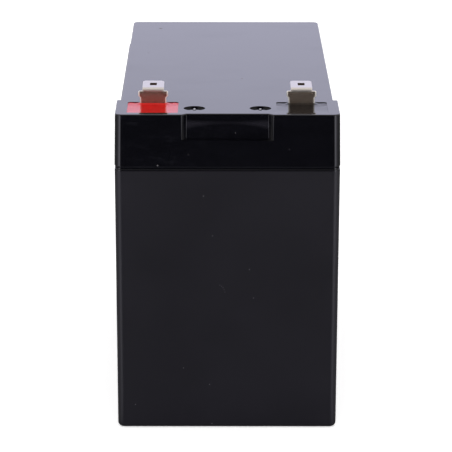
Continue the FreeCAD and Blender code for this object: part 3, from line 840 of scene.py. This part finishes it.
class BATTERY_OT_tabs(bpy.types.Operator):
    """Models the two push-on tabs as bent sheet: stem, plate, ears, bend, blade and hole"""
    bl_idname = "battery.tabs"
    bl_label = "Tabs"

    def execute(self, context):
        sizes = self.sizes = context.scene.battery_terminals
        middle = self.middle = (TAB_LOW.x + TAB_HIGH.x) / 2
        along = Vector((0, math.cos(sizes.tilt), math.sin(sizes.tilt)))
        outer = sizes.sheet + sizes.bend
        top = self.top = TAB_HIGH.z - sizes.blade_length * along.z - outer * along.y
        axis = Vector((middle, TAB_LOW.y + outer, top))
        tab = self.blank()
        with Shaping(tab) as edit:
            edit.pick("EDGE", both(lambda p: p.z > top - NEAR
                                   and abs(p.x - middle) < sizes.blade / 2 + NEAR))
            bpy.ops.mesh.spin(steps=8, angle=math.pi / 2 - sizes.tilt, center=axis, axis=(1, 0, 0))
            for stretch in (sizes.blade_length - sizes.tip, sizes.tip):
                bpy.ops.mesh.extrude_edges_move(TRANSFORM_OT_translate={"value": along * stretch})
            scale_about((middle, 0, 0), x=1 - 2 * sizes.tip / sizes.blade)
            edit.everything()
            bpy.ops.mesh.normals_make_consistent(inside=False)
            mesh = bmesh.from_edit_mesh(tab.data)
            if min(mesh.faces, key=lambda f: f.calc_center_median().z).normal.y > 0:
                bpy.ops.mesh.flip_normals()
        modify(tab, "SOLIDIFY", thickness=sizes.sheet, offset=-1, use_even_offset=True)
        modify(tab, "BEVEL", width=sizes.burr, segments=3, limit_method="ANGLE",
               angle_limit=math.radians(50), use_clamp_overlap=False)
        start = axis + outer * Vector((0, -along.z, along.y))
        combine(tab, self.punch(start + sizes.hole_place * along), "DIFFERENCE")
        tidy_mesh(tab)
        left = mirrored_copy(tab, "tab_left")
        tin = tinned_brass(context.scene.battery_looks)
        brass = sheared_brass()
        hole = start.y + sizes.hole_place
        for piece, solid in ((tab, "negative_tab"), (left, "positive_tab")):
            smooth(piece, 40)
            hand_over(piece, solid, tin)
            piece.data.materials.append(brass)
            with Shaping(piece) as edit:
                edit.pick("FACE", lambda c, n: abs(n.z) < 0.5
                          and abs(abs(c.x) - middle) < sizes.hole_width * 0.6
                          and abs(c.y - hole) < sizes.hole_length * 0.6)
                piece.active_material_index = 1
                bpy.ops.object.material_slot_assign()
        return {"FINISHED"}

    def blank(self):
        """The front face of the upright part, flat: stem, plate and the two ears."""
        sizes, middle, top = self.sizes, self.middle, self.top
        neck = top - sizes.ear_height
        slope = (sizes.ears - sizes.plate) / 2
        deselect()
        bpy.ops.mesh.primitive_plane_add(size=1, location=(middle, TAB_LOW.y, (TAB_LOW.z + top) / 2),
                                         rotation=(math.pi / 2, 0, 0))
        bpy.context.object.scale = (sizes.ears, top - TAB_LOW.z, 1)
        tab = settle("tab_right")
        with Shaping(tab) as edit:
            cuts = [((middle + side * width / 2, 0, 0), (1, 0, 0))
                    for width in (sizes.plate, sizes.blade, sizes.stem) for side in (-1, 1)]
            cuts += [((0, 0, z), (0, 0, 1)) for z in (RESIN_LOW.z, neck, neck + slope)]
            for place, normal in cuts:
                edit.everything()
                bpy.ops.mesh.bisect(plane_co=place, plane_no=normal)
            edit.pick("FACE", lambda c, n: c.z < RESIN_LOW.z and abs(c.x - middle) > sizes.stem / 2
                      or c.z < neck and abs(c.x - middle) > sizes.plate / 2)
            bpy.ops.mesh.delete(type="FACE")
            for side in (-1, 1):
                edit.pick("VERT", lambda p: abs(p.z - neck) < NEAR
                          and side * (p.x - middle) > sizes.plate / 2 + 10 * NEAR)
                bpy.ops.transform.translate(value=(-side * slope, 0, 0))
            edit.everything()
            bpy.ops.mesh.remove_doubles(threshold=NEAR)
            edit.pick("VERT", lambda p: abs(p.z - top) < NEAR
                      and abs(p.x - middle) > sizes.ears / 2 - 10 * NEAR)
            bpy.ops.mesh.bevel(offset=sizes.ear_round, segments=4, affect="VERTICES")
        return tab

    def punch(self, centre):
        """The square punch that leaves the locking hole, which has crisp edges."""
        half = Vector((self.sizes.hole_width, self.sizes.hole_length, 4 * self.sizes.sheet)) / 2
        punch = add_block("punch", -half, half, self.sizes.hole_corner, 3)
        punch.rotation_euler.x = self.sizes.tilt
        punch.location = centre
        choose(punch)
        return settle("punch")


class BATTERY_OT_resins(bpy.types.Operator):
    """Models the resin in the two pockets, dished and drawn up at the walls and round the tabs"""
    bl_idname = "battery.resins"
    bl_label = "Resins"

    def execute(self, context):
        sizes = context.scene.battery_terminals
        looks = context.scene.battery_looks
        low = Vector(RESIN_LOW)
        high = Vector(RESIN_HIGH)
        level = LID_HIGH.z - sizes.fill
        middle = (low + high) / 2
        half = (high - low) / 2
        tab_x = (TAB_LOW.x + TAB_HIGH.x) / 2
        tab_y = TAB_LOW.y + sizes.sheet / 2
        deselect()
        bpy.ops.mesh.primitive_grid_add(x_subdivisions=60, y_subdivisions=60, size=1,
                                        location=(middle.x, middle.y, level))
        bpy.context.object.scale = (2 * half.x, 2 * half.y, 1)
        resin = settle("resin_right")

        def front(p):
            return p.y < middle.y - 3 * MM

        def walls(p):
            return abs(p.x - middle.x) > half.x - NEAR or abs(p.y - middle.y) > half.y - NEAR

        def back_corners(p):
            return abs(p.x - middle.x) > half.x - 30 * NEAR and p.y - middle.y > half.y - 30 * NEAR

        def tab(p):
            return (abs(p.x - tab_x) < sizes.plate / 2 + 10 * NEAR
                    and abs(p.y - tab_y) < sizes.sheet / 2 + 10 * NEAR)

        # The front sinks as it cures, the edges are drawn up, and at the tab it has a wide foot and a
        # steep lip: what moves, how far up and how far round in millimetres, and in which curve
        with Shaping(resin) as edit:
            for test, rise, reach, curve in ((front, -0.15 * MM, 9, "SMOOTH"),
                                             (walls, 0.1 * MM, 1.5, "SHARP"),
                                             (back_corners, 0.2 * MM, 3, "SMOOTH"),
                                             (tab, sizes.rise / 2, 4, "SHARP"),
                                             (tab, sizes.rise / 2, 1.3, "SHARP")):
                edit.pick("VERT", test)
                bpy.ops.transform.translate(value=(0, 0, rise), use_proportional_edit=True,
                                            proportional_edit_falloff=curve,
                                            proportional_size=reach * MM)
            edit.everything()
            extrude((0, 0, low.z - level - MM))
        tidy_mesh(resin)
        keep = add_block("resin_form", low, (high.x, high.y, high.z + MM),
                         context.scene.battery_lid.pocket, 5)
        combine(resin, keep, "INTERSECT")
        tidy_mesh(resin)
        left = mirrored_copy(resin, "resin_left")
        for piece, solid, slot, tint in ((resin, "negative_resin", "resin_black", looks.black),
                                         (left, "positive_resin", "resin_red", looks.red)):
            choose(piece)
            bpy.ops.object.shade_smooth_by_angle(angle=math.radians(50))
            hand_over(piece, solid, poured_resin(slot, tint))
        return {"FINISHED"}


class BATTERY_OT_inner(bpy.types.Operator):
    """Gives the cells, strips, board, leads and foam inside the case their finishes"""
    bl_idname = "battery.inner"
    bl_label = "Inner parts"

    def execute(self, context):
        made = {slot: plain_finish(slot, *values) for slot, values in INNER_FINISHES.items()}
        made["cell_sleeve"] = cell_sleeve(context.scene.battery_looks)
        for part in frame["record"]["subparts"]:
            material = made.get(part["material_slot"])
            if material is None:
                continue
            piece = frame["nodes"][part["node"]]
            piece.data.materials.clear()
            piece.data.materials.append(material)
        return {"FINISHED"}


# The camera that a fit to the outline in the photograph gives: its place in millimetres, its yaw,
# pitch and roll in degrees, and its lens in millimetres
CAMERA_PLACE = (-3.403, -859.43, 262.109)
CAMERA_TURN = (0.221, 14.372, 0.104)
CAMERA_LENS = 223.47
# Cards on the table, as fans between two bearings from the front: tones near and far, and the glow
CARDS = (("front_card", -11, 11, "#80808a", "#2a2a2c", 0),
         ("grey_card", 11, 21, "#5a5a5e", "#5a5a5e", 0),
         ("dim_strip", 21, 31, "#0a0a0a", "#0a0a0a", 1.0),
         ("strip", 31, 47, "#0a0a0a", "#0a0a0a", 2.0),
         ("dim_strip", 47, 60, "#0a0a0a", "#0a0a0a", 1.0),
         ("side_strip", 60, 76, "#0a0a0a", "#0a0a0a", 0.7))
CARD_REACH = 1.4


def add_floor():
    """A plain pale floor. The camera sees it a little brighter, as on an overlit table."""
    deselect()
    bpy.ops.mesh.primitive_plane_add(size=12, location=(0, 0, -0.05 * MM))
    floor = settle("floor")
    look = new_look("pale_floor")
    cloud = look.spread(look.noise(300, 1), 0.3, 0.7)
    floor.data.materials.append(look.shade({
        "Base Color": look.blend(cloud, linear("#f4f4f4"), linear("#f7f7f7")),
        "Roughness": 0.8,
        "Emission Color": (1, 1, 1, 1),
        "Emission Strength": look.times(look.seen_plainly(), 0.5)}))


def fan(start, end, side):
    """A wedge on the table between two bearings from the front, from the battery's corners on."""
    corners = []
    for angle, distance in ((start, 0), (start, CARD_REACH), (end, CARD_REACH), (end, 0)):
        edge = math.copysign(CASE_HIGH.x + 2 * MM, angle)
        corners.append((side * (edge + distance * math.tan(math.radians(angle))),
                        -CASE_HIGH.y - MM - distance, 0.06))
    return corners


def add_card(name, corners, near, far, glow):
    """One card through four corners: x and y in metres, the height in millimetres."""
    deselect()
    bpy.ops.mesh.primitive_plane_add(size=1)
    card = settle(name)
    for point, (x, y, height) in zip((0, 1, 3, 2), corners):
        card.data.vertices[point].co = (x, y, height * MM)
    look = new_look(name)
    away = look.spread(look.parts()[1], -CASE_HIGH.y, -CASE_HIGH.y - 0.25)
    card.data.materials.append(look.shade({
        "Base Color": look.blend(away, linear(near), linear(far)),
        "Roughness": 1,
        "Specular IOR Level": 0,
        "Emission Color": (0.9, 0.89, 1, 1),
        "Emission Strength": look.spread(away, 0, 1, 0.5 * glow, glow)}))
    for seen in ("camera", "diffuse", "transmission", "shadow"):
        setattr(card, "visible_" + seen, False)


def add_surroundings(scene):
    """A white room, which glossy faces see bright and cool behind and dimmer towards the front."""
    scene.world = bpy.data.worlds.new("white_room")
    look = Look(scene.world)
    back = look.parts("Generated")[1]
    ceiling = look.blend(look.spread(back, -0.88, -0.7), (0.03, 0.03, 0.03, 1),
                         (0.98, 0.96, 0.94, 1))
    walls = look.blend(look.spread(back, 0.1, 0.85), ceiling, (0.92, 0.92, 1.15, 1))
    seen = look.seen_plainly()
    mirrored = look.maths("SUBTRACT", seen, look.add("LightPath")["Is Camera Ray"])
    room = look.add("Background", {"Color": look.blend(mirrored, (1, 1, 1, 1), walls),
                                   "Strength": look.spread(seen, 0, 1, 0.6, 1)})
    look.add("OutputWorld", {"Surface": room[0]})


def add_softbox(name, place, tilt, size, glow):
    """A soft rectangular light of the given radiance in red, green and blue."""
    strongest = max(glow)
    light = bpy.data.lights.new(name, "AREA")
    light.shape = "RECTANGLE"
    light.size, light.size_y = size
    light.color = tuple(c / strongest for c in glow)
    light.energy = math.pi * size[0] * size[1] * strongest
    lamp = bpy.data.objects.new(name, light)
    bpy.context.scene.collection.objects.link(lamp)
    lamp.location = place
    lamp.rotation_euler.x = math.radians(tilt)
    lamp.visible_camera = False
    lamp.visible_glossy = False


def add_camera(scene):
    """The camera of the photograph."""
    yaw, pitch, roll = map(math.radians, CAMERA_TURN)
    data = bpy.data.cameras.new("camera")
    data.sensor_width = 36
    data.lens = CAMERA_LENS
    data.clip_start = 0.01
    camera = bpy.data.objects.new("camera", data)
    scene.collection.objects.link(camera)
    camera.matrix_world = (Matrix.Translation(Vector(CAMERA_PLACE) * MM)
                           @ Matrix.Rotation(-yaw, 4, "Z")
                           @ Matrix.Rotation(math.pi / 2 - pitch, 4, "X")
                           @ Matrix.Rotation(roll, 4, "Z"))
    scene.camera = camera


class BATTERY_OT_stage(bpy.types.Operator):
    """Sets up the floor, the soft lights, the white surroundings and the camera"""
    bl_idname = "battery.stage"
    bl_label = "Stage"

    def execute(self, context):
        scene = context.scene
        scene.view_settings.view_transform = "Standard"
        add_floor()
        # Only glossy faces see the cards: dark in front, then grey, and a bright strip aside
        add_card("table_card", ((-2, -2, 0.03), (2, -2, 0.03), (2, 2, 0.03), (-2, 2, 0.03)),
                 "#8a8a8c", "#8a8a8c", 0)
        for name, start, end, *looks in CARDS:
            for side in (1,) if start < 0 else (-1, 1):
                add_card(name, fan(start, end, side), *looks)
        add_surroundings(scene)
        add_softbox("top_softbox", (0, 0, 1.5), 0, (1.4, 1.4), (1.5, 1.47, 1.44))
        add_softbox("front_softbox", (0, -2, 0.62), 75, (2, 1), (1.6, 1.6, 1.7))
        add_camera(scene)
        return {"FINISHED"}


class BATTERY_PT_parts(bpy.types.Panel):
    """Lists the pieces and their sizes"""
    bl_idname = "BATTERY_PT_parts"
    bl_label = "Battery"
    bl_space_type = "VIEW_3D"
    bl_region_type = "UI"
    bl_category = "Battery"

    def draw(self, context):
        for operator, group in PIECES:
            self.layout.operator(operator.bl_idname)
            for name in GROUPS[group].__annotations__ if group else ():
                self.layout.prop(getattr(context.scene, group), name)


GROUPS = {"battery_case": CaseSizes, "battery_lid": LidSizes, "battery_terminals": TerminalSizes,
          "battery_looks": Finishes}
PIECES = ((BATTERY_OT_case, "battery_case"), (BATTERY_OT_lid, "battery_lid"),
          (BATTERY_OT_tabs, "battery_terminals"), (BATTERY_OT_resins, "battery_looks"),
          (BATTERY_OT_inner, None), (BATTERY_OT_stage, None))
CLASSES = tuple(GROUPS.values()) + tuple(p[0] for p in PIECES) + (BATTERY_PT_parts,)


def register():
    for made in CLASSES:
        bpy.utils.register_class(made)
    for name, group in GROUPS.items():
        setattr(bpy.types.Scene, name, bpy.props.PointerProperty(type=group))


def unregister():
    for name in GROUPS:
        delattr(bpy.types.Scene, name)
    for made in reversed(CLASSES):
        bpy.utils.unregister_class(made)


def main():
    """Builds the whole battery."""
    register()
    bpy.ops.battery.case()
    bpy.ops.battery.lid()
    bpy.ops.battery.tabs()
    bpy.ops.battery.resins()
    bpy.ops.battery.inner()
    bpy.ops.battery.stage()


if __name__ == "__main__":
    main()
